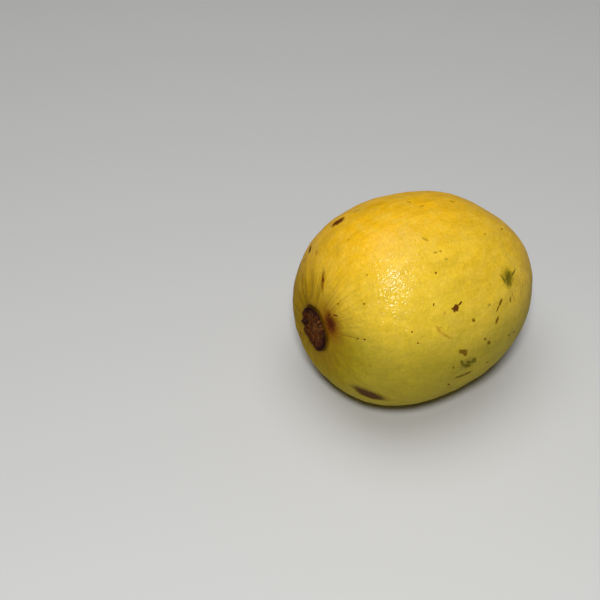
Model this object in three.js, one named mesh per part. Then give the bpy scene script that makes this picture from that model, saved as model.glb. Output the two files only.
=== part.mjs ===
// A ripe guava lying on its side: one whole fruit, the dried calyx at its flower end and the stub of its stalk.
// Millimetres. X runs along the fruit from its flower end (-X) to its stem end (+X), and +Z is up.
import * as THREE from 'three';

// The fruit's form
const girthRadius = 33;
const flowerEnd = 30.6; // from the widest ring to the flower end
const stemEnd = 45.6; // from the widest ring to the stem end
const shoulders = [0.017, 0.116, 0.17]; // how full the girth stays towards the flower end
const ovalSection = { amount: 0.042, turn: -32 }; // its cross-section is a little oval
const threeSidedSection = { amount: 0.029, turn: -113 }; // and faintly three-sided
const flowerEndRise = 3.3; // degrees by which the flower end lies higher
const flatDepth = 0.7; // how far the underside is pressed flat where it rests

// Broad swells and flats of the flesh. Along is counted in degrees from the flower end and around from the top
// towards +Y, and spread is the width of the swell as seen from the middle of the fruit.
const swells = [
  { along: 30, around: 145, height: 0.4, spread: 18 },
  { along: 132, around: 8, height: -1.6, spread: 18 },
  { along: 152, around: 350, height: -0.8, spread: 18 },
  { along: 148, around: 280, height: -0.5, spread: 18 },
  { along: 84, around: 178, height: -0.8, spread: 34 },
];

// The shallow basin round the calyx, and the pleats that run out of it
const calyxRadius = 6.4;
const calyxOval = { amount: 0.085, turn: 43 }; // the calyx is longer than it is wide, and the basin follows it
const seatGap = 0.3;
const basin = { floorRadius: 6.9, edgeRadius: 8.8, depth: 0.9 };
const pleats = { count: 17, wander: 1.2, depth: 0.16, start: 8, strongest: 10.5, end: 20 };

// The calyx: a raised, worn ring round a dished papery floor
const rimHeight = 1.45;
const rimLobes = { count: 5, turn: -28, outline: 0.015 };
const rimWear = { share: 0.3, lowSide: 109 }; // the rim is worn lower between its lobes and on one side
const floorHeight = 0.6;
// From the floor over the rim and back under it: radius as a share of the calyx's own, height above its underside
const calyxProfile = [
  [0.25, floorHeight],
  [0.5, floorHeight - 0.1],
  [0.66, floorHeight],
  [0.76, floorHeight + 0.3],
  [0.83, rimHeight - 0.2],
  [0.89, rimHeight],
  [0.95, rimHeight - 0.12],
  [0.99, rimHeight - 0.45],
  [1, rimHeight - 0.9],
  [0.97, 0],
  [0.6, 0],
  [0.3, 0],
];
const styleScar = { radius: 1.1, topRadius: 0.65, height: 0.6 };

// The stalk's stub, which stands in a small dimple with a low collar
const stubRadius = 2;
const stubLength = 2.8;
// From its foot to its broken end: radius, height and how far the break wanders up and down
const stubProfile = [
  [stubRadius + 0.3, 0, 0],
  [stubRadius + 0.3, 0.5, 0],
  [stubRadius, 1.3, 0],
  [stubRadius * 0.95, stubLength - 0.4, 0.1],
  [stubRadius * 0.75, stubLength - 0.1, 0.15],
  [stubRadius * 0.35, stubLength - 0.3, 0.1],
];
const dimple = { floorRadius: 2.75, edgeRadius: 4.2, depth: 1.1 };
const collar = { radius: 4.6, height: 0.5, width: 2 };

// How finely each piece is divided. The fruit's rings are close together at both ends and even between.
const fruitColumns = 68;
const calyxColumns = 45;
const stubColumns = 18;
const middleRings = 34;
const flowerRings = [2, 4.5, 6, ...spread(basin.floorRadius, basin.edgeRadius, 5), ...spread(9.6, 20, 8)];
const stemRings = [10.5, 8, 6.2, 5.2, 4.6, 4, 3.4, 2.7, 1.4];
const calyxReach = [0.25, 0.7]; // radians from the flower end over which the rings lose the calyx's shape

const { degToRad, smoothstep } = THREE.MathUtils;

function spread(from, to, count) {
  return Array.from({ length: count }, (_, step) => from + ((to - from) * step) / (count - 1));
}

// The closed surface through a first pole, rings of points and a last pole. The rings turn from +Z towards +Y, and
// the surface faces away from their middle when they run from -X to +X.
function closedSurface(firstPole, rings, lastPole) {
  const columns = rings[0].length;
  const points = [firstPole, ...rings.flat(), lastPole];
  const last = points.length - 1;
  const corner = (ring, column) => 1 + ring * columns + (column % columns);
  const faces = [];
  for (let column = 0; column < columns; column += 1) {
    faces.push(0, corner(0, column), corner(0, column + 1));
    for (let ring = 0; ring < rings.length - 1; ring += 1) {
      const near = corner(ring, column);
      const nearNext = corner(ring, column + 1);
      const far = corner(ring + 1, column);
      const farNext = corner(ring + 1, column + 1);
      faces.push(near, far, farNext, near, farNext, nearNext);
    }
    const lastRing = rings.length - 1;
    faces.push(corner(lastRing, column), last, corner(lastRing, column + 1));
  }
  const geometry = new THREE.BufferGeometry().setFromPoints(points);
  geometry.setIndex(faces);
  geometry.computeVertexNormals();
  return geometry;
}

function around(columns) {
  return Array.from({ length: columns }, (_, column) => (column / columns) * Math.PI * 2);
}

// The direction from the fruit's middle, for angles counted from the flower end and round from the top
function direction(along, turn) {
  const out = Math.sin(along);
  return new THREE.Vector3(-Math.cos(along), out * Math.sin(turn), out * Math.cos(turn));
}

function sectionShape(turn) {
  const oval = ovalSection.amount * Math.cos(2 * (turn - degToRad(ovalSection.turn)));
  const threeSided = threeSidedSection.amount * Math.cos(3 * (turn - degToRad(threeSidedSection.turn)));
  return 1 + oval + threeSided;
}

function calyxShape(turn) {
  return 1 + calyxOval.amount * Math.cos(2 * (turn - degToRad(calyxOval.turn)));
}

function girthAt(along) {
  const lean = Math.cos(along);
  const fullness = 1 + shoulders[0] * lean + shoulders[1] * lean ** 2 + shoulders[2] * lean ** 3;
  return girthRadius * Math.sin(along) * fullness;
}

function swellAt(outward) {
  let height = 0;
  for (const swell of swells) {
    const centre = direction(degToRad(swell.along), degToRad(swell.around));
    const away = outward.angleTo(centre) / degToRad(swell.spread);
    height += swell.height * Math.exp(-(away ** 2));
  }
  return height;
}

// How far the skin sinks beside the calyx: the basin, and the pleats round it
function flowerEndSink(radius, turn) {
  const distance = radius / calyxShape(turn);
  const hollow = basin.depth * (1 - smoothstep(distance, basin.floorRadius, basin.edgeRadius));
  const rise = smoothstep(distance, pleats.start, pleats.strongest);
  const fade = 1 - smoothstep(distance, pleats.strongest, pleats.end);
  const wave = Math.cos(pleats.count * turn + pleats.wander * Math.sin(3 * turn));
  return hollow + pleats.depth * rise * fade * (0.5 - 0.5 * wave);
}

function stemEndSink(distance) {
  const hollow = dimple.depth * (1 - smoothstep(distance, dimple.floorRadius, dimple.edgeRadius));
  const lip = collar.height * Math.exp(-(((distance - collar.radius) / collar.width) ** 2));
  return hollow - lip;
}

function skinPoint(along, turn) {
  const half = along < Math.PI / 2 ? flowerEnd : stemEnd;
  const radius = girthAt(along) * sectionShape(turn);
  const point = new THREE.Vector3(-half * Math.cos(along), radius * Math.sin(turn), radius * Math.cos(turn));
  const outward = direction(along, turn);
  const sink = along < Math.PI / 2 ? flowerEndSink(radius, turn) : stemEndSink(radius);
  return point.addScaledVector(outward, swellAt(outward) - sink);
}

// The fruit as it lies: turned about Y so that its flower end is a little higher
function lay(point) {
  return point.applyAxisAngle(new THREE.Vector3(0, 1, 0), degToRad(flowerEndRise));
}

function ringAngles() {
  const flowerGirth = girthRadius * (1 + shoulders[0] + shoulders[1] + shoulders[2]);
  const stemGirth = girthRadius * (1 - shoulders[0] + shoulders[1] - shoulders[2]);
  const flowerAngles = flowerRings.map((radius) => Math.asin(radius / flowerGirth));
  const stemAngles = stemRings.map((radius) => Math.PI - Math.asin(radius / stemGirth));
  const middle = spread(flowerAngles.at(-1), stemAngles[0], middleRings + 2).slice(1, -1);
  return [...flowerAngles, ...middle, ...stemAngles];
}

// The rings near the flower end take the calyx's shape, so that the basin's edge runs along them.
function ringPoint(along, turn) {
  const nearCalyx = 1 - smoothstep(along, ...calyxReach);
  const stretch = 1 + (calyxShape(turn) / sectionShape(turn) - 1) * nearCalyx;
  return lay(skinPoint(along * stretch, turn));
}

function makeFruit() {
  const turns = around(fruitColumns);
  const rings = ringAngles().map((along) => turns.map((turn) => ringPoint(along, turn)));
  const lowest = Math.min(...rings.flat().map((point) => point.z));
  for (const point of rings.flat()) {
    point.z = Math.max(point.z, lowest + flatDepth);
  }
  return closedSurface(lay(skinPoint(0, 0)), rings, lay(skinPoint(Math.PI, 0)));
}

function lobeWave(turn) {
  return Math.cos(rimLobes.count * turn - degToRad(rimLobes.turn));
}

function calyxOutline(turn) {
  return calyxRadius * calyxShape(turn) * (1 - rimLobes.outline * (1 - lobeWave(turn)));
}

// How much of its height above the floor the rim has lost
function lossAt(turn) {
  const betweenLobes = 0.5 - 0.5 * lobeWave(turn);
  const lowSide = 0.5 + 0.5 * Math.cos(2 * turn - degToRad(rimWear.lowSide));
  return rimWear.share * (0.6 * betweenLobes + 0.4 * lowSide);
}

function makeCalyx() {
  const turns = around(calyxColumns);
  const seat = skinPoint(0, 0).x - seatGap;
  const place = (radius, turn, height) =>
    lay(new THREE.Vector3(seat - height, radius * Math.sin(turn), radius * Math.cos(turn)));
  const rings = calyxProfile.map(([share, height]) =>
    turns.map((turn) => {
      const overFloor = Math.max(height - floorHeight, 0);
      return place(share * calyxOutline(turn), turn, height - overFloor * lossAt(turn));
    }),
  );
  const scarFoot = turns.map((turn) => place(styleScar.radius, turn, floorHeight));
  const scarTop = turns.map((turn) => place(styleScar.topRadius, turn, floorHeight + styleScar.height));
  const top = place(0, 0, floorHeight + styleScar.height);
  return closedSurface(top, [scarTop, scarFoot, ...rings], place(0, 0, 0));
}

function makeStub() {
  const turns = around(stubColumns);
  const seat = skinPoint(Math.PI, 0).x + seatGap;
  const place = (radius, turn, height) =>
    lay(new THREE.Vector3(seat + height, radius * Math.sin(turn), radius * Math.cos(turn)));
  const rings = stubProfile.map(([radius, height, wander]) =>
    turns.map((turn) => place(radius, turn, height + wander * Math.cos(3 * turn + 1))),
  );
  const [, breakHeight] = stubProfile.at(-1);
  return closedSurface(place(0, 0, 0), rings, place(0, 0, breakHeight));
}

function makeMesh(name, geometry, color, roughness) {
  const mesh = new THREE.Mesh(geometry, new THREE.MeshStandardMaterial({ color, roughness, metalness: 0 }));
  mesh.name = name;
  return mesh;
}

const lyingFruit = new THREE.Group();
lyingFruit.add(
  makeMesh('fruit', makeFruit(), '#d8b42a', 0.45),
  makeMesh('calyx', makeCalyx(), '#4a2418', 0.85),
  makeMesh('stem_stub', makeStub(), '#6b4a2c', 0.9),
);

// The origin is under the middle of the fruit, on the surface that it rests on.
const box = new THREE.Box3().setFromObject(lyingFruit);
const middle = box.getCenter(new THREE.Vector3());
lyingFruit.position.set(-middle.x, -middle.y, -box.min.z);

const guava = new THREE.Group();
guava.add(lyingFruit);

export default guava;
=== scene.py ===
# A ripe yellow guava on a pale floor: its skin, dried calyx and the stub of its stalk, over the CAD frame.
import math

import bpy
from mathutils import Matrix, Vector, noise


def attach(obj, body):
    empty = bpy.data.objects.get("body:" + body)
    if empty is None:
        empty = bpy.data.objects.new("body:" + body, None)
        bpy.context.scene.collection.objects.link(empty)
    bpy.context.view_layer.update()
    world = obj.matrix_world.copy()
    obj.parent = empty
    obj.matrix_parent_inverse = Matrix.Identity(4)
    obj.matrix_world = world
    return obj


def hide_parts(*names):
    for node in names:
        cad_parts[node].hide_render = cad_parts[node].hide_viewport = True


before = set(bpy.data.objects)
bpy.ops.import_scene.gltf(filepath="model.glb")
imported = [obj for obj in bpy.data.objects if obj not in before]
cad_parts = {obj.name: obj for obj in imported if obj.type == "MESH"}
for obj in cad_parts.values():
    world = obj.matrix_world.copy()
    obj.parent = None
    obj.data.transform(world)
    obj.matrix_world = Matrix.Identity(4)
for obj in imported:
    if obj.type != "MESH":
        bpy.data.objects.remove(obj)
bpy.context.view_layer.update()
print("frame loaded:", sorted(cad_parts))

mm = 0.001

# The fruit's own frame: its axis runs from the flower end (-X) to the stem end (+X), a little turned about Y.
fruitForm = {
    "middle": (-7.95, 0.12, 31.54),  # where the widest ring's centre is, in mm
    "flowerEndRise": 3.3,  # degrees
    "calyxRadius": 6.4,
    "calyxOval": 0.085,
    "calyxTurn": 43,  # degrees from the top towards +Y
}
fruitMiddle = Vector(fruitForm["middle"]) * mm
fruitTilt = Matrix.Rotation(math.radians(fruitForm["flowerEndRise"]), 4, "Y")


# The camera, which also says where on the fruit a place in the picture is.
view = {
    "place": (-0.20393, -0.27907, 0.32665),  # m
    "azimuth": -29.9,
    "elevation": 41.0,
    "focalLength": 87.9,
    "sensorWidth": 36.0,
    "pictureSize": 600,  # pixels each way
    "fruitMiddle": (400, 299.5),  # pixels
    "drawIn": 0.002,  # the share of the way to the middle that a pixel off the fruit moves at a time
}
viewTurn = math.radians(view["azimuth"])
viewLift = math.radians(view["elevation"])
viewBack = Vector(
    (math.sin(viewTurn) * math.cos(viewLift), -math.cos(viewTurn) * math.cos(viewLift), math.sin(viewLift))
)


def wayThrough(x, y):
    # the way from the camera through a pixel of the picture, x to the right and y down
    half = view["pictureSize"] / 2
    reach = view["focalLength"] / view["sensorWidth"] * view["pictureSize"]
    return (viewBack.to_track_quat("Z", "Y") @ Vector((x - half, half - y, -reach))).normalized()


def direction(along, around):
    # along: degrees from the flower end; around: degrees from the top towards +Y
    u, t = math.radians(along), math.radians(around)
    return Vector((-math.cos(u), math.sin(u) * math.sin(t), math.sin(u) * math.cos(t)))


def toFruit(point):
    return fruitTilt.inverted() @ (point - fruitMiddle)


def turnToFruit(way):
    return (fruitTilt.inverted().to_3x3() @ way).normalized()


def fromFruit(point):
    return fruitTilt @ point + fruitMiddle


def calyxShape(around):
    # how far the calyx and the flesh round it reach at an angle, as a share of a round one
    return 1 + fruitForm["calyxOval"] * math.cos(2 * (around - math.radians(fruitForm["calyxTurn"])))


def smooth(value, low, high):
    share = min(max((value - low) / (high - low), 0), 1)
    return share * share * (3 - 2 * share)


def deselectAll():
    if bpy.context.mode != "OBJECT":
        bpy.ops.object.mode_set(mode="OBJECT")
    bpy.ops.object.select_all(action="DESELECT")


def choose(piece):
    deselectAll()
    piece.select_set(True)
    bpy.context.view_layer.objects.active = piece


def copyOfNode(node, name):
    # the CAD mesh is loose triangles, so its copy is merged before anything else
    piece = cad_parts[node].copy()
    piece.data = piece.data.copy()
    piece.name = name
    piece.data.name = name
    piece.parent = None
    for key in list(piece.keys()):
        del piece[key]
    bpy.context.scene.collection.objects.link(piece)
    choose(piece)
    bpy.ops.object.mode_set(mode="EDIT")
    bpy.ops.mesh.select_all(action="SELECT")
    bpy.ops.mesh.remove_doubles(threshold=0.00001)
    bpy.ops.mesh.tris_convert_to_quads()
    bpy.ops.object.mode_set(mode="OBJECT")
    return piece


def subdivide(piece, levels):
    choose(piece)
    finer = piece.modifiers.new("finer", "SUBSURF")
    finer.levels = levels
    finer.render_levels = levels
    bpy.ops.object.modifier_apply(modifier=finer.name)


def finish(piece, material, node=None):
    choose(piece)
    piece.data.materials.clear()
    piece.data.materials.append(material)
    bpy.ops.object.shade_smooth()
    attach(piece, "root")
    if node:
        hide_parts(node)


# Shader nodes

class NodeSheet:
    # adds nodes to a material or a group and wires them, so that each effect reads as one line
    def __init__(self, tree):
        self.tree = tree
        self.count = 0

    def add(self, kind, **settings):
        node = self.tree.nodes.new(kind)
        node.location = (220 * (self.count % 12), -260 * (self.count // 12))
        self.count += 1
        for key, value in settings.items():
            setattr(node, key, value)
        return node

    def feed(self, socket, value):
        if isinstance(value, bpy.types.NodeSocket):
            self.tree.links.new(value, socket)
        elif value is not None:
            socket.default_value = value

    def math(self, operation, first, second=None, third=None, clamp=False):
        node = self.add("ShaderNodeMath", operation=operation, use_clamp=clamp)
        for socket, value in zip(node.inputs, (first, second, third)):
            self.feed(socket, value)
        return node.outputs[0]

    def vector(self, operation, first, second=None, scale=None):
        node = self.add("ShaderNodeVectorMath", operation=operation)
        self.feed(node.inputs[0], first)
        self.feed(node.inputs[1], second)
        if scale is not None:
            self.feed(node.inputs["Scale"], scale)
        return node.outputs["Value"] if operation in ("DOT_PRODUCT", "LENGTH") else node.outputs["Vector"]

    def noise(self, place, scale, detail=2.0, roughness=0.5, distortion=0.0):
        node = self.add("ShaderNodeTexNoise")
        self.feed(node.inputs["Vector"], place)
        node.inputs["Scale"].default_value = scale
        node.inputs["Detail"].default_value = detail
        node.inputs["Roughness"].default_value = roughness
        node.inputs["Distortion"].default_value = distortion
        return node.outputs["Fac"]

    def cells(self, place, scale, feature="F1", randomness=1.0):
        node = self.add("ShaderNodeTexVoronoi", feature=feature)
        self.feed(node.inputs["Vector"], place)
        node.inputs["Scale"].default_value = scale
        node.inputs["Randomness"].default_value = randomness
        return node.outputs["Distance"]

    def span(self, value, fromLow, fromHigh, toLow=0.0, toHigh=1.0, smoothly=True):
        node = self.add("ShaderNodeMapRange")
        node.interpolation_type = "SMOOTHSTEP" if smoothly else "LINEAR"
        for name, number in (("Value", value), ("From Min", fromLow), ("From Max", fromHigh)):
            self.feed(node.inputs[name], number)
        self.feed(node.inputs["To Min"], toLow)
        self.feed(node.inputs["To Max"], toHigh)
        return node.outputs["Result"]

    def mix(self, share, first, second, blend="MIX"):
        node = self.add("ShaderNodeMix", data_type="RGBA", blend_type=blend)
        self.feed(node.inputs["Factor"], share)
        self.feed(node.inputs[6], colour(first))
        self.feed(node.inputs[7], colour(second))
        return node.outputs[2]

    def bump(self, height, distance, strength=1.0, normal=None):
        node = self.add("ShaderNodeBump")
        self.feed(node.inputs["Height"], height)
        node.inputs["Distance"].default_value = distance
        node.inputs["Strength"].default_value = strength
        if normal is not None:
            self.feed(node.inputs["Normal"], normal)
        return node.outputs["Normal"]

    def use(self, group, **values):
        node = self.add("ShaderNodeGroup")
        node.node_tree = group
        for key, value in values.items():
            self.feed(node.inputs[key], value)
        return node


def colour(value):
    if isinstance(value, (tuple, list)) and len(value) == 3:
        return (*value, 1.0)
    return value


def newGroup(name, inputs, outputs):
    tree = bpy.data.node_groups.new(name, "ShaderNodeTree")
    for socketName, kind, default in inputs:
        socket = tree.interface.new_socket(socketName, in_out="INPUT", socket_type=kind)
        if default is not None:
            socket.default_value = default
    for socketName, kind in outputs:
        tree.interface.new_socket(socketName, in_out="OUTPUT", socket_type=kind)
    sheet = NodeSheet(tree)
    source = sheet.add("NodeGroupInput")
    target = sheet.add("NodeGroupOutput")
    return tree, sheet, source.outputs, target.inputs


def newMaterial(name, roughness, **constants):
    material = bpy.data.materials.new(name)
    material.use_nodes = True
    material.node_tree.nodes.clear()
    sheet = NodeSheet(material.node_tree)
    shader = sheet.add("ShaderNodeBsdfPrincipled")
    output = sheet.add("ShaderNodeOutputMaterial")
    material.node_tree.links.new(shader.outputs["BSDF"], output.inputs["Surface"])
    sheet.feed(shader.inputs["Roughness"], roughness)
    for key, value in constants.items():
        shader.inputs[key.replace("_", " ")].default_value = value
    return material, sheet, shader


def fruitPlace(sheet):
    # Object coordinates turned into the fruit's own frame, in millimetres
    place = sheet.add("ShaderNodeTexCoord").outputs["Object"]
    turned = sheet.add("ShaderNodeMapping", vector_type="TEXTURE")
    turned.inputs["Location"].default_value = fruitMiddle
    turned.inputs["Rotation"].default_value = (0, math.radians(fruitForm["flowerEndRise"]), 0)
    turned.inputs["Scale"].default_value = (mm, mm, mm)
    sheet.feed(turned.inputs["Vector"], place)
    return turned.outputs["Vector"]


def makeMarkGroup():
    # One mark on the skin: an oval patch round a centre, its edge broken up by noise
    tree, sheet, source, target = newGroup(
        "skinMark",
        [
            ("Place", "NodeSocketVector", None),
            ("Ragged", "NodeSocketFloat", 0.0),
            ("Centre", "NodeSocketVector", None),
            ("Long", "NodeSocketVector", None),
            ("Wide", "NodeSocketVector", None),
            ("Deep", "NodeSocketVector", None),
            ("Soft", "NodeSocketFloat", 0.3),
            ("Rough Edge", "NodeSocketFloat", 0.3),
        ],
        [("Mask", "NodeSocketFloat")],
    )
    offset = sheet.vector("SUBTRACT", source["Place"], source["Centre"])
    # the three parts come before the node that joins them, which keeps few values waiting at once
    parts = [sheet.vector("DOT_PRODUCT", offset, source[name]) for name in ("Long", "Wide", "Deep")]
    reach = sheet.add("ShaderNodeCombineXYZ")
    for socket, part in zip(reach.inputs, parts):
        sheet.feed(socket, part)
    distance = sheet.vector("LENGTH", reach.outputs[0])
    broken = sheet.math("MULTIPLY_ADD", source["Ragged"], source["Rough Edge"], distance)
    inner = sheet.math("SUBTRACT", 1.0, source["Soft"])
    outer = sheet.math("ADD", 1.0, source["Soft"])
    sheet.feed(target["Mask"], sheet.span(broken, inner, outer, 1.0, 0.0))
    return tree


skin = {
    "levels": 2,
    "lumpSize": 13,  # mm across
    "lumpHeight": 0.22,  # mm
    "swellSize": 5.5,
    "swellHeight": 0.16,
    "dimpleSize": 2.6,
    "dimpleHeight": 0.12,
    "grainSize": 0.62,
    "grainHeight": 0.045,
    "pleatCount": 32,
    "pleatHeight": 0.3,
    "pleatSide": 40,  # degrees round the calyx where the pleats are deepest
    "pleatReach": (7.4, 9.5, 22.0),  # mm from the flower end's axis: start, strongest, gone
    "closing": 0.8,  # mm by which the flesh closes up to the calyx's wall
    "flatReach": (0.15, 2.5),  # mm above the floor over which the relief grows from none
    "gold": (0.92, 0.475, 0.003),
    "yellow": (0.79, 0.55, 0.036),
    "ripeWay": (0.144, 0.925, 0.351),  # the side that the sun ripened to gold
    "olive": (0.50, 0.55, 0.16),  # what the low side's colour is multiplied by: an olive tint with painted shade; also the olive of the random patches
    "flowerEnd": (0.30, 0.16, 0.001),
    "stemEnd": (0.40, 0.37, 0.02),
    "paleFleck": (0.88, 0.62, 0.09),
    "roughness": 0.4,
    "coat": 0.19,
    "coatRoughness": 0.16,
    "poreSize": 0.85,  # mm
    "glossSize": 0.74,
    "poreDepth": 0.00016,  # m
    "glossDepth": 0.00020,
    "driedEdgeAndShade": (0.13, 0.06, 0.004),  # the skin where it meets the calyx: dried, and painted shade from the calyx's rim
    "calyxPlace": (-30.0, 0.0, 0.0),  # mm in the fruit's frame
    "stalkPlace": (45.0, 0.0, 0.0),
    "ripeReach": (-28.0, 26.0),  # mm along ripeWay, from yellow to gold
    "lowOliveAndShadeReach": (-3.0, 19.5),  # mm of height, from all olive tint and painted shade to none
    "flowerReach": (9.0, 26.0),  # mm from the calyx, from the strongest colour to none
    "flowerShare": 0.82,
    "stalkReach": (6.0, 19.0),
    "stalkShare": 0.7,
    "foldReach": (10.0, 36.0),  # mm from the calyx over which its folds fade
}

# The skin's patterns: scale per mm, detail, roughness and, where there is one, distortion
patterns = {
    "cloud": (0.05, 1.5, 0.45),
    "mottle": (0.28, 4.0, 0.6),
    "grain": (1.1, 3.0, 0.6),
    "streaks": (2.5, 2.5, 0.55, 0.5),
    "patches": (0.16, 3.0, 0.55, 0.6),
    "bands": (0.3, 2.0, 0.5, 0.8),
    "ragged": (1.6, 4.0, 0.65),
}

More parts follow.
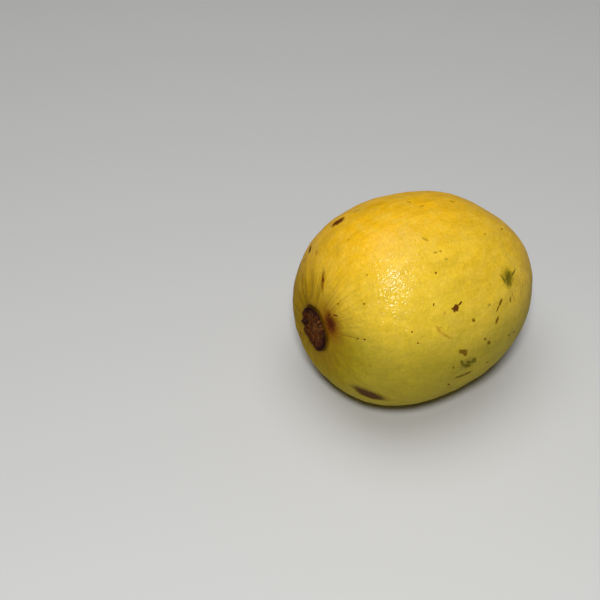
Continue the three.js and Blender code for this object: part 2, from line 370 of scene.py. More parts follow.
# The kinds of mark on the skin, in the order in which they are painted, each with its share and its colour.
# Seen: where each shows in the picture, from x, y to x, y in pixels, then its width in mm and how soft and how
# ragged its edge is. Hidden: along and around in degrees, length and width in mm, turn in degrees from the way to
# the stem end towards growing around, softness and raggedness.
marks = {
    "green": {
        "share": 1.0,
        "colour": (0.25, 0.195, 0.004),
        "seen": {
            "right patch": (504.5, 269.5, 511.8, 287, 5.0, 0.5, 1.2),
            "low patch": (459.5, 366, 475, 361.5, 4.2, 0.5, 1.4),
            "low line": (455, 378, 472, 371.4, 1.8, 0.5, 1.0),
        },
        "hidden": [
            (118, 112, 6.0, 3.4, 60, 0.5, 1.6),
            (142, 30, 4.0, 2.4, 20, 0.5, 1.6),
        ],
    },
    "flecks": {
        "share": 0.8,
        "colour": (0.10, 0.085, 0.005),
        "seen": {
            "right patch, middle": (507.2, 271.6, 509.6, 284.6, 2.8, 0.6, 1.6),
            "right patch, left ray": (500.8, 274.8, 506.6, 283.8, 0.7, 0.5, 1.2),
            "right patch, right ray": (515.6, 269, 511.6, 276.2, 0.7, 0.5, 1.2),
            "low patch, right": (472.6, 358.6, 475.4, 362, 1.7, 0.35, 1.6),
            "low patch, bottom": (462.8, 365, 470.8, 366, 1.4, 0.35, 1.6),
            "low patch, middle": (466.2, 361.6, 471.6, 362.6, 1.1, 0.4, 1.8),
            "low patch, left": (461.2, 360.5, 463, 365.5, 1.0, 0.4, 1.6),
            "low line": (455, 377.6, 465, 374.6, 1.0, 0.4, 1.4),
        },
        "hidden": [
            (118.5, 113, 3.0, 1.3, 50, 0.5, 1.6),
        ],
    },
    "faint": {
        "share": 0.5,
        "colour": (0.36, 0.14, 0.002),
        "seen": {
            "under the third dash": (511.6, 290.5, 514.6, 302, 0.6, 0.5, 0.8),
            "scratch, upper": (436, 325.6, 441, 333.6, 1.0, 0.5, 1.2),
            "scratch, lower": (440.4, 332.6, 451, 338.4, 0.8, 0.6, 1.2),
            "scratch, branch": (436.6, 329, 441.8, 327, 0.6, 0.6, 1.0),
            "under the large spot": (443.6, 313.6, 446, 312.8, 0.8, 0.6, 0.8),
            "left edge, long": (302.4, 272, 303.4, 285, 1.6, 0.7, 1.2),
            "left edge, high": (316, 250.5, 317.2, 254.5, 1.2, 0.7, 1.0),
            "left edge, short": (305.5, 258.5, 303.5, 262, 1.3, 0.6, 1.0),
            "under the scar": (347, 240.4, 349.4, 239.2, 0.7, 0.6, 0.8),
        },
        "hidden": [],
    },
    "pale": {
        "share": 0.55,
        "colour": (0.22, 0.13, 0.002),
        "seen": {
            "comma": (422, 237.6, 428.5, 241.2, 0.8, 0.4, 1.0),
            "trio, left": (433.2, 252.8, 438, 252.3, 0.7, 0.4, 1.0),
            "trio, right": (439.4, 251.6, 442.4, 250.8, 0.7, 0.4, 1.0),
            "trio, low": (444.8, 258.8, 447.4, 259.2, 0.7, 0.4, 1.0),
            "top, middle": (419.4, 207.2, 424.4, 205, 0.7, 0.4, 1.0),
            "top, left": (406.4, 201.4, 411.4, 202.6, 0.8, 0.4, 1.0),
            "top, right": (449.6, 201, 454.6, 202.2, 0.9, 0.4, 1.0),
            "above the scar": (353, 212.2, 360, 209.8, 1.1, 0.4, 1.0),
            "left of the glint": (365.8, 275, 368.2, 275, 0.7, 0.6, 0.4),
            "high right": (483.6, 234, 486.4, 234.2, 0.7, 0.6, 0.4),
            "low left": (368.2, 366, 370.8, 366, 0.8, 0.6, 0.4),
            "by the first dash": (488, 305.6, 491, 304.4, 0.8, 0.5, 1.0),
        },
        "hidden": [],
    },
    "olive": {
        "share": 0.9,
        "colour": (0.165, 0.08, 0.003),
        "seen": {
            "right spot": (472.2, 319.6, 475.2, 321.2, 1.0, 0.35, 1.4),
            "low right pair, lower": (487.4, 341.8, 490.2, 343.4, 1.1, 0.35, 1.4),
            "low right pair, upper": (484.4, 338.2, 486, 339.8, 0.7, 0.4, 1.0),
            "triangle's top": (460.2, 351, 467.4, 352.4, 1.8, 0.25, 1.6),
            "triangle's foot": (464, 352, 466.6, 355.6, 1.3, 0.25, 1.4),
            "triangle's tip": (459.3, 350.2, 461.5, 351, 0.8, 0.4, 0.6),
            "low spot": (452.2, 367.4, 454.2, 367.8, 0.8, 0.5, 0.8),
            "first dash, upper half": (502.3, 298.4, 498.8, 306, 1.0, 0.3, 0.9),
            "first dash, lower half": (499.4, 304.5, 496.6, 312, 0.65, 0.35, 0.9),
            "second dash": (498.6, 316.2, 495.8, 324.2, 1.0, 0.3, 0.9),
            "third dash": (510.4, 296.6, 510.2, 302.6, 0.7, 0.4, 0.8),
        },
        "hidden": [
            (64, 118, 2.6, 0.9, 40, 0.4, 1.0),
            (112, 92, 3.0, 0.7, -25, 0.4, 1.0),
            (99, 158, 1.8, 1.1, 10, 0.4, 1.0),
        ],
    },
    "bruised": {
        "share": 0.85,
        "colour": (0.26, 0.085, 0.002),
        "seen": {
            "by the calyx": (326.2, 309.5, 336, 339, 7.0, 0.75, 1.0),
            "by the calyx, upper": (326.4, 309.5, 329.4, 318.5, 3.0, 0.8, 0.8),
            "streak": (323.2, 271, 322.4, 291, 1.5, 0.5, 1.2),
        },
        "hidden": [],
    },
    "dark": {
        "share": 1.0,
        "colour": (0.085, 0.015, 0.002),
        "seen": {
            "by the calyx": (328.2, 315, 333.2, 333, 3.8, 0.75, 1.1),
            "streak's core": (322.9, 277.5, 323.1, 282, 0.7, 0.5, 0.9),
        },
        "hidden": [],
    },
    "purple": {
        "share": 0.92,
        "colour": (0.062, 0.016, 0.013),
        "seen": {
            "low bruise": (352, 388, 384, 400.4, 5.4, 0.5, 1.0),
            "low bruise's core": (360, 391.6, 384, 400.4, 4.2, 0.4, 0.9),
        },
        "hidden": [],
    },
    "brown": {
        "share": 0.95,
        "colour": (0.10, 0.012, 0.003),
        "seen": {
            "scar": (331.6, 226.4, 344.4, 217.4, 2.8, 0.35, 1.4),
            "nick in the left edge": (311, 245.4, 309, 253, 1.5, 0.3, 0.8),
            "large spot": (453.2, 309.2, 458.6, 307.2, 2.0, 0.25, 2.2),
            "large spot's tail": (458.6, 305.5, 462.2, 301.2, 0.6, 0.3, 0.6),
            "large spot's tip": (451.5, 308.6, 454.5, 309.2, 0.5, 0.3, 0.6),
            "dash by the calyx": (332.6, 314.9, 337.8, 316.1, 0.5, 0.4, 0.4),
            "speck by the dash": (328.2, 315, 329.8, 315, 0.5, 0.4, 0.3),
            "speck under the glint": (363.2, 304.2, 364.9, 303.9, 0.5, 0.4, 0.3),
            "speck above the dash": (337.3, 304, 338.7, 304, 0.4, 0.4, 0.3),
            "low pair, left": (356.6, 338.4, 358.5, 338.7, 0.5, 0.4, 0.3),
            "low pair, right": (363.3, 339.4, 365.7, 339.7, 0.5, 0.4, 0.3),
            "low middle, upper": (411.3, 332, 412.8, 332, 0.5, 0.4, 0.3),
            "low middle, lower": (417.2, 342.8, 418.9, 343.3, 0.5, 0.4, 0.3),
            "high speck": (435.1, 273, 436.9, 273, 0.6, 0.4, 0.3),
            "speck left of the spot": (433.4, 306, 434, 303.2, 0.4, 0.4, 0.6),
            "right edge, inner": (508.2, 335, 509.8, 335, 0.4, 0.4, 0.3),
            "right edge, outer": (513.2, 332, 514.8, 332, 0.4, 0.4, 0.3),
            "low right speck": (486.6, 362, 488.4, 362, 0.4, 0.4, 0.3),
            "lowest pair, upper": (447.6, 383.6, 449.6, 385, 0.5, 0.4, 0.6),
            "lowest pair, lower": (450.4, 387.8, 452.4, 386.4, 0.5, 0.4, 0.8),
            "dark end of the low line": (464, 374.6, 471.4, 371.4, 0.8, 0.3, 0.8),
            "speck left of the calyx": (300.3, 332.4, 301.7, 333.6, 0.6, 0.4, 0.3),
            "high right speck": (501.2, 229, 502.8, 229, 0.4, 0.4, 0.3),
        },
        "hidden": [
            (71, 98, 3.4, 1.1, 30, 0.4, 1.2),
            (108, 138, 2.0, 1.5, 0, 0.35, 1.4),
            (94, 72, 1.7, 0.7, -40, 0.4, 0.8),
            (58, 150, 4.6, 0.7, 15, 0.5, 0.8),
            (121, 60, 0.8, 0.7, 0, 0.4, 0.6),
            (84, 121, 0.7, 0.6, 0, 0.4, 0.6),
            (133, -170, 2.4, 1.6, 50, 0.4, 1.2),
        ],
    },
    "creases": {
        "share": 0.45,
        "colour": (0.24, 0.13, 0.008),
        "seen": {
            "by the bruise": (335.5, 333.5, 357, 338.5, 0.5, 0.7, 0.5),
            "under the bruise": (332.5, 350, 336.5, 359, 0.6, 0.7, 0.5),
        },
        "hidden": [],
    },
}
# Dents under the marks, where they show in the picture: x, y in pixels, then radius and depth in mm.
dents = {
    "scar": (338.5, 222, 1.6, 0.22),
    "nick": (310.5, 249, 1.6, 0.3),
    "large spot": (456.5, 308, 1.2, 0.14),
    "low bruise": (368.5, 394.5, 3.2, 0.2),
    "by the calyx": (331, 325, 2.4, 0.12),
    "triangle": (464.5, 352.5, 1.2, 0.08),
}


def skinRelief(point, dentPlaces):
    # how far the skin stands out at a point of the fruit's frame, all in mm
    around = math.atan2(point.y, point.z)
    distance = math.hypot(point.y, point.z)
    lumps = noise.noise(point / skin["lumpSize"]) - 0.6
    swells = noise.noise(point / skin["swellSize"] + Vector((3.1, 0, 0)))
    dimples = noise.noise(point / skin["dimpleSize"])
    grain = noise.noise(point / skin["grainSize"])
    relief = skin["lumpHeight"] * lumps + skin["swellHeight"] * swells
    relief += skin["dimpleHeight"] * dimples + skin["grainHeight"] * grain
    if point.x < 0:
        fromCalyx = distance / calyxShape(around)
        start, strongest, gone = skin["pleatReach"]
        envelope = smooth(fromCalyx, start, strongest) * (1 - smooth(fromCalyx, strongest, gone))
        spokes = skin["pleatCount"] / (2 * math.pi)
        fold = noise.noise(Vector((spokes * math.cos(around), spokes * math.sin(around), distance / 14)))
        uneven = 0.3 + 0.7 * (0.5 + 0.5 * math.cos(around - math.radians(skin["pleatSide"])))
        relief += skin["pleatHeight"] * envelope * uneven * (2 * fold - 0.4)
        relief += skin["closing"] * (1 - smooth(fromCalyx, 6.9, 8.8)) * smooth(fromCalyx, 6.3, 6.7)
    for centre, radius, depth in dentPlaces:
        away = (point - centre).length
        if away < 2.5 * radius:
            relief -= depth * math.exp(-((away / radius) ** 2))
    return relief


def shapeSkin():
    piece = copyOfNode("fruit", "guava_skin")
    subdivide(piece, skin["levels"])
    dentPlaces = [(skinSeenAt(piece, x, y)[0], radius, depth) for x, y, radius, depth in dents.values()]
    normals = [vertex.normal.copy() for vertex in piece.data.vertices]
    for vertex, normal in zip(piece.data.vertices, normals):
        place = toFruit(vertex.co) / mm
        clear = smooth(vertex.co.z / mm, *skin["flatReach"])  # the flat spot stays flat
        vertex.co += normal * skinRelief(place, dentPlaces) * clear * mm
    piece.data.update()
    return piece


def skinSeenAt(piece, x, y):
    # the place of the skin that shows at a pixel, in mm in the fruit's frame, and the way out of it there
    middleX, middleY = view["fruitMiddle"]
    eye = Vector(view["place"])
    found, spot, normal, _ = piece.ray_cast(eye, wayThrough(x, y))
    while not found:
        # a pixel just past the outline is drawn in until it meets the skin
        x += view["drawIn"] * (middleX - x)
        y += view["drawIn"] * (middleY - y)
        found, spot, normal, _ = piece.ray_cast(eye, wayThrough(x, y))
    return toFruit(spot) / mm, turnToFruit(normal)


def seenMark(piece, mark):
    x0, y0, x1, y1, width, soft, rough = mark
    first, _ = skinSeenAt(piece, x0, y0)
    last, _ = skinSeenAt(piece, x1, y1)
    centre, outward = skinSeenAt(piece, (x0 + x1) / 2, (y0 + y1) / 2)
    return centre, outward, last - first, (last - first).length, width, soft, rough


def hiddenMark(piece, mark):
    along, around, length, width, turn, soft, rough = mark
    towards = direction(along, around)
    start = fromFruit(Vector((0, 0, 0)))
    aim = (fromFruit(towards) - start).normalized()
    _, spot, normal, _ = piece.ray_cast(start, aim)
    centre = toFruit(spot) / mm
    outward = turnToFruit(normal)
    onward = direction(along + 1, around) - towards
    growing = Vector((0, math.cos(math.radians(around)), -math.sin(math.radians(around))))
    angle = math.radians(turn)
    longWay = onward.normalized() * math.cos(angle) + growing * math.sin(angle)
    return centre, outward, longWay, length, width, soft, rough


def addMarks(sheet, group, piece, maps, kind):
    # one mask of all the marks of a kind: each has a centre and three ways, divided by its reach along them
    found = [seenMark(piece, mark) for mark in kind["seen"].values()]
    found += [hiddenMark(piece, mark) for mark in kind["hidden"]]
    mask = None
    for centre, outward, longWay, length, width, soft, rough in found:
        longWay = (longWay - outward * longWay.dot(outward)).normalized()
        wideWay = outward.cross(longWay)
        node = sheet.use(
            group,
            Place=maps["place"],
            Ragged=maps["ragged"],
            Centre=centre,
            Long=longWay * (2 / length),
            Wide=wideWay * (2 / width),
            Deep=outward / (max(length, width) + 2),
        )
        node.inputs["Soft"].default_value = soft
        node.inputs["Rough Edge"].default_value = rough
        one = node.outputs["Mask"]
        mask = one if mask is None else sheet.math("MAXIMUM", mask, one)
    return mask


def skinMaps(sheet):
    # the places and patterns that the skin's colour, gloss and relief are made from
    place = fruitPlace(sheet)
    parts = sheet.add("ShaderNodeSeparateXYZ")
    sheet.feed(parts.inputs[0], place)
    across = sheet.add("ShaderNodeCombineXYZ")
    sheet.feed(across.inputs[1], parts.outputs[1])
    sheet.feed(across.inputs[2], parts.outputs[2])
    outward = sheet.vector("NORMALIZE", across.outputs[0])
    drift = sheet.add("ShaderNodeCombineXYZ")
    sheet.feed(drift.inputs[0], sheet.math("MULTIPLY", parts.outputs[0], 0.06))
    meridian = sheet.vector("ADD", sheet.vector("SCALE", outward, scale=7.0), drift.outputs[0])

    maps = {"place": place, "along": parts.outputs[0], "side": parts.outputs[1], "up": parts.outputs[2]}
    maps["fromAxis"] = sheet.vector("LENGTH", across.outputs[0])
    maps["fromCalyx"] = sheet.vector("LENGTH", sheet.vector("SUBTRACT", place, skin["calyxPlace"]))
    for name in ("cloud", "mottle", "grain"):
        maps[name] = sheet.noise(place, *patterns[name])
    maps["streaks"] = sheet.noise(meridian, *patterns["streaks"])
    maps["ragged"] = sheet.math("SUBTRACT", sheet.noise(place, *patterns["ragged"]), 0.5)

    side = math.radians(skin["pleatSide"])
    towards = sheet.vector("DOT_PRODUCT", outward, (0, math.sin(side), math.cos(side)))
    nearEnd = sheet.span(maps["fromCalyx"], *skin["foldReach"], 1.0, 0.3)
    nearEnd = sheet.math("MULTIPLY", nearEnd, sheet.span(towards, -0.8, 0.9, 0.3, 1.0))
    maps["nearEnd"] = nearEnd
    maps["folds"] = sheet.math("MULTIPLY", maps["streaks"], nearEnd)
    return maps


def paintFlesh(sheet, maps):
    # yellow to gold on the side that the sun ripened, olive and darker low down (an olive tint with painted
    # shade), and another colour at each end
    place, mottle = maps["place"], maps["mottle"]
    cloudy = sheet.math("SUBTRACT", maps["cloud"], 0.5)
    height = sheet.math("MULTIPLY_ADD", cloudy, 12.0, maps["up"])
    ripeness = sheet.math("MULTIPLY_ADD", cloudy, 22.0, sheet.vector("DOT_PRODUCT", place, skin["ripeWay"]))
    base = sheet.mix(sheet.span(ripeness, *skin["ripeReach"]), skin["yellow"], skin["gold"])
    base = sheet.mix(sheet.span(mottle, 0.35, 0.75, 0.0, 0.35), base, skin["paleFleck"])
    # painted shade: low down the skin is multiplied darker as well as more olive, by height
    base = sheet.mix(sheet.span(height, *skin["lowOliveAndShadeReach"], 1.0, 0.0), base, skin["olive"], "MULTIPLY")

    fromFlower = sheet.math("MULTIPLY_ADD", maps["streaks"], 8.0, maps["fromCalyx"])
    flower = sheet.span(fromFlower, *skin["flowerReach"], skin["flowerShare"], 0.0)
    base = sheet.mix(flower, base, skin["flowerEnd"])
    fromStalk = sheet.vector("LENGTH", sheet.vector("SUBTRACT", place, skin["stalkPlace"]))
    fromStalk = sheet.math("MULTIPLY_ADD", maps["cloud"], 8.0, fromStalk)
    stalkEnd = sheet.span(fromStalk, *skin["stalkReach"], skin["stalkShare"], 0.0)
    base = sheet.mix(stalkEnd, base, skin["stemEnd"])

    patches = sheet.noise(sheet.vector("MULTIPLY", place, (0.6, 1.0, 1.0)), *patterns["patches"])
    base = sheet.mix(sheet.span(patches, 0.46, 0.72, 0.0, 0.18), base, skin["olive"], "MULTIPLY")
    base = sheet.mix(sheet.span(mottle, 0.5, 0.25, 0.0, 0.12), base, skin["olive"], "MULTIPLY")

    # painted shade and light: near the calyx the skin is darker in the folds' valleys and a little lighter on
    # their ridges
    shade = sheet.add("ShaderNodeMix", data_type="FLOAT")
    sheet.feed(shade.inputs["Factor"], maps["nearEnd"])
    shade.inputs[2].default_value = 1.0
    sheet.feed(shade.inputs[3], sheet.span(maps["streaks"], 0.3, 0.7, 0.87, 1.05))
    bands = sheet.noise(sheet.vector("MULTIPLY", place, (0.22, 1.0, 1.0)), *patterns["bands"])
    tone = sheet.math("MULTIPLY", shade.outputs[0], sheet.span(maps["grain"], 0.2, 0.8, 0.90, 1.06))
    tone = sheet.math("MULTIPLY", tone, sheet.span(bands, 0.3, 0.7, 0.95, 1.04))
    base = sheet.mix(1.0, base, grey(sheet, tone), "MULTIPLY")

    # the skin darker round the calyx: dried tissue, and painted shade where the skin meets the calyx's rim
    fromAxis = sheet.math("MULTIPLY_ADD", maps["ragged"], 1.6, maps["fromAxis"])
    driedAndShaded = sheet.span(fromAxis, 6.7, 8.3, 0.8, 0.0)
    driedAndShaded = sheet.math("MULTIPLY", driedAndShaded, sheet.span(maps["along"], -20.0, -26.0))
    return sheet.mix(driedAndShaded, base, skin["driedEdgeAndShade"])


def paintMarks(sheet, group, piece, maps, base):
    # each kind of mark over the flesh; returns the colour and the masks by kind
    masks = {}
    for name, kind in marks.items():
        mask = addMarks(sheet, group, piece, maps, kind)
        if name == "green":
            mask = sheet.math("MULTIPLY", mask, sheet.span(maps["grain"], 0.3, 0.65, 0.35, 0.9))
        if name == "brown":
            mask = sheet.math("MAXIMUM", mask, farSpecks(sheet, maps["place"], maps["side"], maps["up"]))
        base = sheet.mix(sheet.math("MULTIPLY", mask, kind["share"]), base, kind["colour"])
        masks[name] = mask
    return base, masks


def makeSkinMaterial(piece, markGroup):
    material, sheet, shader = newMaterial(
        "guavaSkin",
        skin["roughness"],
        Specular_IOR_Level=0.0,
        Coat_IOR=2.0,
        Coat_Roughness=skin["coatRoughness"],
        Subsurface_Weight=0.08,
        Subsurface_Radius=(1.0, 0.55, 0.12),
        Subsurface_Scale=0.0012,
    )
    maps = skinMaps(sheet)
    base, masks = paintMarks(sheet, markGroup, piece, maps, paintFlesh(sheet, maps))
    sheet.feed(shader.inputs["Base Color"], base)

    # the marks are duller than the skin, and so is the flower end
    marked = masks["brown"]
    for name in ("purple", "dark", "bruised", "olive", "flecks"):
        marked = sheet.math("MAXIMUM", marked, masks[name])
    roughness = sheet.span(maps["mottle"], 0.3, 0.7, skin["roughness"] - 0.04, skin["roughness"] + 0.08)
    sheet.feed(shader.inputs["Roughness"], sheet.math("MULTIPLY_ADD", marked, 0.2, roughness))
    nearCalyx = sheet.math("MULTIPLY", sheet.span(maps["fromCalyx"], 14.0, 27.0, 1.0, 0.0), 0.6)
    dull = sheet.math("MAXIMUM", marked, nearCalyx)
    sheet.feed(shader.inputs["Coat Weight"], sheet.span(dull, 0.0, 0.8, skin["coat"], skin["coat"] * 0.2))

    # pores, folds and sunken marks in the skin, and a shallower relief in its gloss
    sunken = sheet.math("MAXIMUM", masks["brown"], sheet.math("MULTIPLY", masks["creases"], 0.5))
    relief = addPores(sheet, maps["place"], skin["poreSize"], 0.35)
    relief = sheet.math("MULTIPLY_ADD", sunken, -0.9, relief)
    relief = sheet.math("MULTIPLY_ADD", maps["folds"], 1.1, relief)
    sheet.feed(shader.inputs["Normal"], sheet.bump(relief, skin["poreDepth"], 0.85))
    gloss = addPores(sheet, maps["place"], skin["glossSize"], 0.06)
    gloss = sheet.math("MULTIPLY_ADD", maps["folds"], 1.4, gloss)
    sheet.feed(shader.inputs["Coat Normal"], sheet.bump(gloss, skin["glossDepth"], 1.0))
    return material


def addPores(sheet, place, size, fineShare):
    # shallow pores over gentle dimples, as a height
    warp = sheet.add("ShaderNodeTexNoise")
    sheet.feed(warp.inputs["Vector"], place)
    warp.inputs["Scale"].default_value = 0.9 / size
    centred = sheet.vector("SUBTRACT", warp.outputs["Color"], (0.5, 0.5, 0.5))
    warped = sheet.vector("ADD", place, sheet.vector("SCALE", centred, scale=1.1 * size))
    pores = sheet.span(sheet.cells(warped, 1 / size, "SMOOTH_F1"), 0.05, 0.75, 1.0, 0.0)
    fine = sheet.noise(place, 2.6 / size, 3.0, 0.6)
    broad = sheet.noise(place, 0.32 / size, 2.0, 0.5)
    height = sheet.math("MULTIPLY_ADD", fine, fineShare, sheet.math("MULTIPLY", pores, 0.55))
    return sheet.math("MULTIPLY_ADD", broad, 0.6, height)


def grey(sheet, value):
    # one value as a grey colour
    node = sheet.add("ShaderNodeCombineColor")
    for socket in node.inputs:
        sheet.feed(socket, value)
    return node.outputs[0]


def farSpecks(sheet, place, side, up):
    # small brown specks over the far side and the underside, one in a few cells of a coarse cell pattern
    cells = sheet.add("ShaderNodeTexVoronoi")
    sheet.feed(cells.inputs["Vector"], place)
    cells.inputs["Scale"].default_value = 0.13
    chosen = sheet.add("ShaderNodeSeparateColor")
    sheet.feed(chosen.inputs[0], cells.outputs["Color"])
    size = sheet.span(chosen.outputs[0], 0.45, 1.0, 0.0, 0.10, False)
    inner = sheet.math("SUBTRACT", size, cells.outputs["Distance"])
    mask = sheet.span(inner, -0.012, 0.02)
    hidden = sheet.math("MAXIMUM", sheet.span(side, 12.0, 20.0), sheet.span(up, -18.0, -24.0))
    return sheet.math("MULTIPLY", mask, hidden)


# The calyx

calyx = {
    "levels": 2,
    "rimLump": 0.26,  # mm
    "rimLumpSize": 1.1,
    "toothTurns": 6.0,  # larger for more and finer teeth
    "toothHeight": 0.22,
    "fibreHeight": 0.14,
    "stamenCount": 40,
    "stamenRadius": 0.42,
    "stamenLength": 1.0,
    "knob": (4.0, 89),  # distance from the calyx's axis in mm, degrees round it
    "knobRadius": 1.0,
    "rimColour": (0.022, 0.005, 0.004),
    "paleGrain": (0.20, 0.06, 0.02),
    "floorColour": (0.07, 0.026, 0.005),
    "fibreColour": (0.32, 0.12, 0.021),
    "redColour": (0.075, 0.012, 0.004),
}


def shapeCalyx():
    piece = copyOfNode("calyx", "guava_calyx")
    subdivide(piece, calyx["levels"])
    normals = [vertex.normal.copy() for vertex in piece.data.vertices]
    for vertex, normal in zip(piece.data.vertices, normals):
        place = toFruit(vertex.co) / mm
        around = math.atan2(place.y, place.z)
        share = math.hypot(place.y, place.z) / (fruitForm["calyxRadius"] * calyxShape(around))
        if turnToFruit(normal).x > 0.3:
            continue  # the underside stays as it is
        onRim = smooth(share, 0.66, 0.8)
        lump = noise.noise(place / calyx["rimLumpSize"]) + 0.5 * noise.noise(place / 0.5)
        fibre = noise.noise(Vector((10 * math.cos(around), 10 * math.sin(around), share * 1.2)))
        floor = (1 - onRim) * smooth(share, 0.12, 0.3)
        turns = calyx["toothTurns"]
        tooth = noise.noise(Vector((turns * math.cos(around), turns * math.sin(around), 0.7)))
        relief = calyx["rimLump"] * onRim * (lump - 0.25) + calyx["toothHeight"] * onRim * (2 * tooth - 0.2)
        relief += calyx["fibreHeight"] * floor * (2 * fibre)
        vertex.co += normal * relief * mm
    piece.data.update()
    return piece


def calyxTop(piece, radius, around):
    # the point of the calyx's outer face at a distance and an angle round its axis, in the fruit's frame
    turn = math.radians(around)
    start = fromFruit(Vector((-45, radius * math.sin(turn), radius * math.cos(turn))) * mm)
    aim = (fromFruit(Vector((1, 0, 0))) - fromFruit(Vector((0, 0, 0)))).normalized()
    _, spot, _, _ = piece.ray_cast(start, aim)
    return toFruit(spot) / mm


def shapeStalk():
    # one dried stamen's foot: a crooked stalk, swollen at its base and torn off at its tip
    deselectAll()
    bpy.ops.mesh.primitive_cone_add(vertices=8, radius1=1.0, radius2=0.5, depth=2.0)
    stalk = bpy.context.object
    bpy.ops.object.mode_set(mode="EDIT")
    bpy.ops.mesh.select_all(action="SELECT")
    bpy.ops.mesh.subdivide(number_cuts=2)
    bpy.ops.object.mode_set(mode="OBJECT")
    for vertex in stalk.data.vertices:
        up = (vertex.co.z + 1) / 2
        swell = 1 + 0.35 * (1 - up) ** 3 - 0.25 * math.sin(math.pi * up)
        torn = 0.35 * noise.noise(vertex.co * 1.7) * up
        vertex.co.x = vertex.co.x * swell + 0.5 * up * up
        vertex.co.y = vertex.co.y * swell + 0.2 * math.sin(3 * up)
        vertex.co.z += torn
    return stalk


def shapeStamens(base):
    # the dried feet of the stamens, one shape copied round the inside of the rim
    chance = Wander(7)
    first = shapeStalk()
    made = []
    for step in range(calyx["stamenCount"]):
        around = 360 * (step + chance.between(-0.3, 0.3)) / calyx["stamenCount"]
        worn = chance.between(0.3, 1.0)
        turn = math.radians(around)
        share = chance.between(0.70, 0.82)
        foot = calyxTop(base, fruitForm["calyxRadius"] * calyxShape(turn) * share, around)
        stalk = first
        if made:
            stalk = first.copy()
            stalk.data = first.data.copy()
            bpy.context.scene.collection.objects.link(stalk)
        lean = Vector((-1, -0.35 * math.sin(turn) + chance.between(-0.25, 0.25), -0.35 * math.cos(turn)))
        aim = fruitTilt.to_3x3() @ lean.normalized()
        half = 0.5 * calyx["stamenLength"] * worn
        thick = calyx["stamenRadius"] * chance.between(0.75, 1.15)
        stalk.matrix_world = (
            Matrix.Translation(fromFruit(foot * mm) + aim * 0.6 * half * mm)
            @ aim.to_track_quat("Z", "Y").to_matrix().to_4x4()
            @ Matrix.Rotation(chance.between(0, 6.28), 4, "Z")
            @ Matrix.Diagonal((thick * mm, thick * mm, half * mm, 1))
        )
        made.append(stalk)
    return joinPieces(made, "guava_stamens")


class Wander:
    # a small seeded source of chance, the same on every run
    def __init__(self, seed):
        self.state = seed

    def between(self, low, high):
        self.state = (self.state * 1103515245 + 12345) % 2147483648
        return low + (high - low) * self.state / 2147483648


def joinPieces(made, name):
    deselectAll()
    for one in made:
        one.select_set(True)
    bpy.context.view_layer.objects.active = made[0]
    bpy.ops.object.join()
    return settle(bpy.context.object, name)


def settle(piece, name):
    # its place goes into its mesh, and its object to the origin
    choose(piece)
    bpy.ops.object.transform_apply(location=True, rotation=True, scale=True)
    piece.name = name
    piece.data.name = name
    return piece


def shapeKnob(base):
    # the dried stump of the style, leaning against the rim
    radius, around = calyx["knob"]
    foot = calyxTop(base, radius, around)
    deselectAll()
    bpy.ops.mesh.primitive_ico_sphere_add(subdivisions=4, radius=calyx["knobRadius"] * mm)
    knob = bpy.context.object
    for vertex in knob.data.vertices:
        bump = noise.noise(vertex.co / (0.5 * mm)) * 0.16
        vertex.co *= 1 + bump
        vertex.co.z *= 1.25
    outward = fruitTilt.to_3x3() @ Vector((-1, 0.25, 0.1)).normalized()
    knob.matrix_world = (
        Matrix.Translation(fromFruit(foot * mm) + outward * 0.55 * mm)
        @ outward.to_track_quat("Z", "Y").to_matrix().to_4x4()
    )
    return settle(knob, "guava_style")


def makeDriedGroup():
    # the dried tissue of the flower end, shared by the calyx, the stamens and the style
    tree, sheet, source, target = newGroup(
        "driedTissue",
        [("Place", "NodeSocketVector", None)],
        [("Color", "NodeSocketColor"), ("Roughness", "NodeSocketFloat"), ("Relief", "NodeSocketFloat")],
    )
    place = source["Place"]
    parts = sheet.add("ShaderNodeSeparateXYZ")
    sheet.feed(parts.inputs[0], place)
    across = sheet.add("ShaderNodeCombineXYZ")
    sheet.feed(across.inputs[1], parts.outputs[1])
    sheet.feed(across.inputs[2], parts.outputs[2])
    radius = sheet.vector("LENGTH", across.outputs[0])
    spoke = sheet.vector("SCALE", sheet.vector("NORMALIZE", across.outputs[0]), scale=11.0)
    fibres = sheet.noise(spoke, 1.6, 3.0, 0.6)
    blotch = sheet.noise(place, 0.9, 4.0, 0.65)
    fine = sheet.noise(place, 3.5, 3.0, 0.6)
    base = sheet.mix(sheet.span(fibres, 0.45, 0.62, 0.0, 0.9), calyx["floorColour"], calyx["fibreColour"])
    base = sheet.mix(sheet.span(blotch, 0.42, 0.62, 0.0, 0.8), base, calyx["redColour"])
    rim = sheet.span(sheet.math("MULTIPLY_ADD", blotch, 1.6, radius), 6.1, 6.9)
    base = sheet.mix(rim, base, calyx["rimColour"])
    clefts = sheet.noise(sheet.vector("SCALE", spoke, scale=0.7), 1.0, 1.0, 0.5)
    cleft = sheet.math("MULTIPLY", sheet.span(clefts, 0.52, 0.38), sheet.span(radius, 4.0, 5.0))
    base = sheet.mix(sheet.math("MULTIPLY", cleft, 0.85), base, calyx["rimColour"])
    speck = sheet.span(sheet.noise(place, 2.2, 3.0, 0.6), 0.56, 0.66)
    base = sheet.mix(sheet.math("MULTIPLY", speck, 0.7), base, calyx["rimColour"])
    base = sheet.mix(sheet.span(fine, 0.55, 0.8, 0.0, 0.45), base, calyx["paleGrain"])
    sheet.feed(target["Color"], base)
    sheet.feed(target["Roughness"], sheet.span(fine, 0.3, 0.7, 0.6, 0.85))
    sheet.feed(target["Relief"], sheet.math("MULTIPLY_ADD", fibres, 0.8, sheet.math("ADD", fine, blotch)))
    return tree


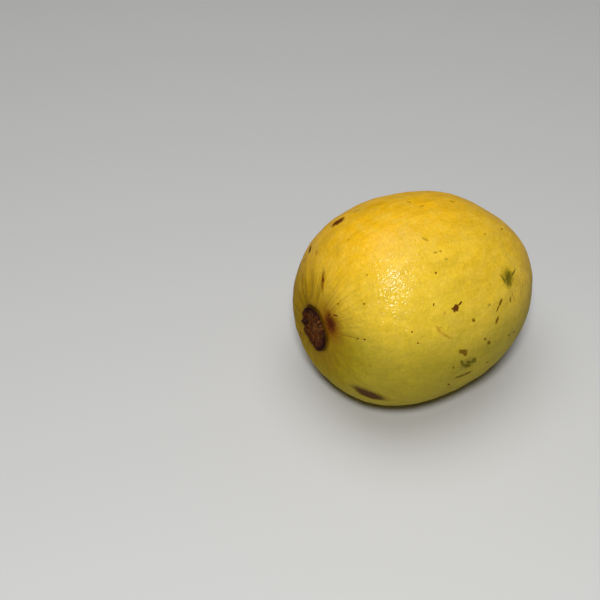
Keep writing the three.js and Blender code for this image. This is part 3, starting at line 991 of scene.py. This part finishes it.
def makeDriedMaterial(name, group, dark):
    material, sheet, shader = newMaterial(name, 0.6, Specular_IOR_Level=0.05)
    tissue = sheet.use(group, Place=fruitPlace(sheet))
    sheet.feed(shader.inputs["Base Color"], sheet.mix(dark, tissue.outputs["Color"], calyx["rimColour"]))
    sheet.feed(shader.inputs["Roughness"], tissue.outputs["Roughness"])
    sheet.feed(shader.inputs["Normal"], sheet.bump(tissue.outputs["Relief"], 0.00018, 0.9))
    return material


# The stub of the stalk

stub = {
    "levels": 3,
    "ridge": 0.10,  # mm
    "bark": (0.22, 0.09, 0.024),
    "darkBark": (0.075, 0.03, 0.01),
    "brokenEnd": (0.34, 0.18, 0.07),
    "breakReach": (47.1, 47.7),  # mm from the fruit's widest ring
}


def shapeStub():
    piece = copyOfNode("stem_stub", "guava_stalk_stub")
    subdivide(piece, stub["levels"])
    normals = [vertex.normal.copy() for vertex in piece.data.vertices]
    for vertex, normal in zip(piece.data.vertices, normals):
        place = toFruit(vertex.co) / mm
        around = math.atan2(place.y, place.z)
        ridges = noise.noise(Vector((3.5 * math.cos(around), 3.5 * math.sin(around), place.x * 0.4)))
        rough = noise.noise(place / 0.7)
        vertex.co += normal * stub["ridge"] * (ridges + 0.6 * rough - 0.4) * mm
    piece.data.update()
    return piece


def makeStubMaterial():
    material, sheet, shader = newMaterial("driedStalk", 0.8, Specular_IOR_Level=0.15)
    place = fruitPlace(sheet)
    parts = sheet.add("ShaderNodeSeparateXYZ")
    sheet.feed(parts.inputs[0], place)
    grain = sheet.noise(sheet.vector("MULTIPLY", place, (0.5, 2.2, 2.2)), 1.0, 4.0, 0.65)
    blotch = sheet.noise(place, 0.8, 3.0, 0.6)
    base = sheet.mix(sheet.span(grain, 0.35, 0.65), stub["darkBark"], stub["bark"])
    end = sheet.span(sheet.math("MULTIPLY_ADD", blotch, 0.8, parts.outputs[0]), *stub["breakReach"])
    base = sheet.mix(sheet.math("MULTIPLY", end, 0.8), base, stub["brokenEnd"])
    sheet.feed(shader.inputs["Base Color"], base)
    sheet.feed(shader.inputs["Roughness"], sheet.span(blotch, 0.3, 0.7, 0.68, 0.88))
    sheet.feed(shader.inputs["Normal"], sheet.bump(grain, 0.0002, 0.9))
    return material


markGroup = makeMarkGroup()

skinPiece = shapeSkin()
finish(skinPiece, makeSkinMaterial(skinPiece, markGroup), "fruit")
print("skin:", len(skinPiece.data.polygons), "faces")

calyxPiece = shapeCalyx()
driedGroup = makeDriedGroup()
calyxMaterial = makeDriedMaterial("driedCalyx", driedGroup, 0.0)
stamenMaterial = makeDriedMaterial("driedStamens", driedGroup, 0.3)
styleMaterial = makeDriedMaterial("driedStyle", driedGroup, 0.9)
stamenPiece = shapeStamens(calyxPiece)
stylePiece = shapeKnob(calyxPiece)
finish(calyxPiece, calyxMaterial, "calyx")
finish(stamenPiece, stamenMaterial)
finish(stylePiece, styleMaterial)
print("calyx:", len(calyxPiece.data.polygons), "faces")

stubPiece = shapeStub()
finish(stubPiece, makeStubMaterial(), "stem_stub")
print("stalk stub:", len(stubPiece.data.polygons), "faces")

# The floor, the lights and the camera

studio = {
    "floorSize": 6.0,  # m
    "floorColour": (0.62, 0.62, 0.61),
    "worldColour": (1.0, 1.0, 1.0),
    "worldStrength": 0.03,
    "backdrop": 0.55,
    "keySize": 0.10,
    "keyPower": 2.7,
    "keyDistance": 0.62,
    "keyOffset": (-0.014, -0.019, 0.025),  # where on the fruit it aims, from the fruit's middle
    "keyWay": (-0.375, -0.535, 0.757),  # from the fruit to the light
    "topSize": 1.0,
    "topPower": 5.6,
    "topPlace": (-0.06, 0.02, 1.03),
}


def addFloor():
    deselectAll()
    bpy.ops.mesh.primitive_plane_add(size=studio["floorSize"])
    floor = bpy.context.object
    floor.name = "floor"
    material, _, shader = newMaterial("paleFloor", 0.7)
    shader.inputs["Base Color"].default_value = (*studio["floorColour"], 1)
    floor.data.materials.append(material)


def addLight(name, place, target, size, power):
    light = bpy.data.lights.new(name, "AREA")
    light.shape = "DISK"
    light.size = size
    light.energy = power
    lamp = bpy.data.objects.new(name, light)
    bpy.context.scene.collection.objects.link(lamp)
    lamp.location = place
    lamp.rotation_euler = (Vector(target) - Vector(place)).to_track_quat("-Z", "Y").to_euler()


def addWorld():
    # pale where the camera sees it, and only a little light from it
    world = bpy.data.worlds.new("studio")
    bpy.context.scene.world = world
    world.use_nodes = True
    world.node_tree.nodes.clear()
    sheet = NodeSheet(world.node_tree)
    glow = sheet.add("ShaderNodeBackground")
    output = sheet.add("ShaderNodeOutputWorld")
    world.node_tree.links.new(glow.outputs[0], output.inputs["Surface"])
    seen = sheet.add("ShaderNodeLightPath").outputs["Is Camera Ray"]
    glow.inputs["Color"].default_value = (*studio["worldColour"], 1)
    strength = sheet.span(seen, 0.0, 1.0, studio["worldStrength"], studio["backdrop"], False)
    sheet.feed(glow.inputs["Strength"], strength)


def addCamera():
    lens = bpy.data.cameras.new("camera")
    lens.lens = view["focalLength"]
    lens.sensor_width = view["sensorWidth"]
    lens.clip_start = 0.01
    camera = bpy.data.objects.new("camera", lens)
    bpy.context.scene.collection.objects.link(camera)
    camera.location = view["place"]
    camera.rotation_euler = viewBack.to_track_quat("Z", "Y").to_euler()
    bpy.context.scene.camera = camera


addFloor()
addWorld()
keyTarget = fruitMiddle + Vector(studio["keyOffset"])
keyPlace = keyTarget + Vector(studio["keyWay"]) * studio["keyDistance"]
addLight("key", keyPlace, keyTarget, studio["keySize"], studio["keyPower"])
addLight("top", studio["topPlace"], fruitMiddle, studio["topSize"], studio["topPower"])
addCamera()
bpy.context.scene.view_settings.view_transform = "Standard"
print("studio ready")
